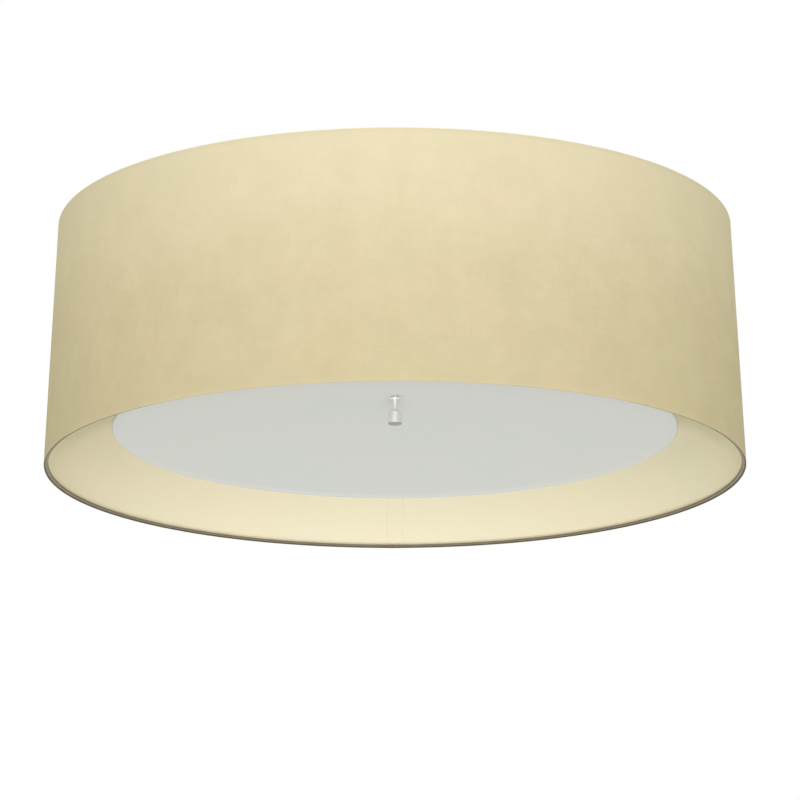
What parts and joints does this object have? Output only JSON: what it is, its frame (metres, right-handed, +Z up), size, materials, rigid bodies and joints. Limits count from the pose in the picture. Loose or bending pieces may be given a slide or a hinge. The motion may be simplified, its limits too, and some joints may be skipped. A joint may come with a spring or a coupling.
{
  "type": "flush mount ceiling light",
  "caption": "Flush mount ceiling light: tapered linen drum shade on a wire spider, with a frosted dished diffuser held up by a slim finial.",
  "frame": {"origin": "middle of the junction box on the ceiling plane, on the top face of the crossbar", "axes": "+Z up into the ceiling, the light hangs along -Z; +X runs along lamp 1; +Y runs along the crossbar, towards the shade's seam"},
  "size_m": [0.5079, 0.508, 0.186],
  "materials": {
    "zinc_steel": "zinc plated, dull",
    "white_enamel": "white powder coat",
    "white_wire": "white coated wire",
    "satin_nickel": "satin nickel plate",
    "ground_green": "green dyed zinc",
    "glass_fibre": "soft glass fibre felt",
    "nylon": "moulded nylon",
    "linen": "cream linen-look weave with slubs",
    "liner": "cream styrene lining",
    "edging": "taupe woven edging",
    "porcelain": "white glaze",
    "shell_brass": "plain brass",
    "lamp_cap": "nickel plated cap",
    "lamp_foot": "black insulator with a metal contact",
    "lamp_housing": "white moulded housing",
    "lamp_dome": "opal dome",
    "frosted_diffuser": "frosted acrylic sheet",
    "soft_washer": "grey silicone",
    "clear_plastic": "clear moulded plastic"
  },
  "bodies": {
    "fixture": {"crossbar": "zinc_steel", "ground_screw": "ground_green", "pan_studs": "zinc_steel", "pan_cap_nuts": "white_enamel", "ceiling_pan": "white_enamel", "lead_bushings": "nylon", "insulation_pad": "glass_fibre", "centre_rod": "zinc_steel", "rod_washers": "zinc_steel", "rod_nuts": "zinc_steel", "diffuser_seat": "zinc_steel", "cushion_washer": "soft_washer", "spider_hub": "white_wire", "top_ring": "white_wire", "bottom_ring": "edging", "shade_liner": "liner", "shade_fabric": "linen", "shade_seam": "liner", "top_edging": "linen", "bottom_edging": "edging", "bracket_rivets": "zinc_steel", "holder_screws": "zinc_steel", "spider_arm_1": "white_wire", "holder_bracket_1": "zinc_steel", "lampholder_1": "porcelain", "screw_shell_1": "shell_brass", "centre_contact_1": "shell_brass", "spider_arm_2": "white_wire", "holder_bracket_2": "zinc_steel", "lampholder_2": "porcelain", "screw_shell_2": "shell_brass", "centre_contact_2": "shell_brass", "spider_arm_3": "white_wire", "holder_bracket_3": "zinc_steel", "lampholder_3": "porcelain", "screw_shell_3": "shell_brass", "centre_contact_3": "shell_brass"},
    "diffuser_dish": {"diffuser": "frosted_diffuser"},
    "finial_washer": {"clear_washer": "clear_plastic"},
    "finial_screw": {"finial": "satin_nickel"},
    "lamp_1": {"bulb_foot_1": "lamp_foot", "bulb_cap_1": "lamp_cap", "bulb_housing_1": "lamp_housing", "bulb_dome_1": "lamp_dome"},
    "lamp_2": {"bulb_foot_2": "lamp_foot", "bulb_cap_2": "lamp_cap", "bulb_housing_2": "lamp_housing", "bulb_dome_2": "lamp_dome"},
    "lamp_3": {"bulb_foot_3": "lamp_foot", "bulb_cap_3": "lamp_cap", "bulb_housing_3": "lamp_housing", "bulb_dome_3": "lamp_dome"}
  },
  "joints": [
    {"name": "diffuser_lift_out", "type": "slide", "parent": "fixture", "child": "diffuser_dish", "axis": [0, 0, -1], "range_m": [0, 0.085]},
    {"name": "finial_travel", "type": "slide", "parent": "diffuser_dish", "child": "finial_washer", "axis": [0, 0, -1], "range_m": [0, 0.0085]},
    {"name": "finial_turn", "type": "hinge", "parent": "finial_washer", "child": "finial_screw", "pos_m": [0, 0, -0.14], "axis": [0, 0, -1], "range_deg": [0, 4320]},
    {"name": "lamp_1_pull", "type": "slide", "parent": "fixture", "child": "lamp_1", "axis": [1, 0, 0], "range_m": [0, 0.03]},
    {"name": "lamp_2_pull", "type": "slide", "parent": "fixture", "child": "lamp_2", "axis": [-0.5, 0.866, 0], "range_m": [0, 0.03]},
    {"name": "lamp_3_pull", "type": "slide", "parent": "fixture", "child": "lamp_3", "axis": [-0.5, -0.866, 0], "range_m": [0, 0.03]}
  ],
  "couplings": [
    {"joint": "finial_travel", "follows": "finial_turn", "m_per_rad": 0.00011141}
  ]
}
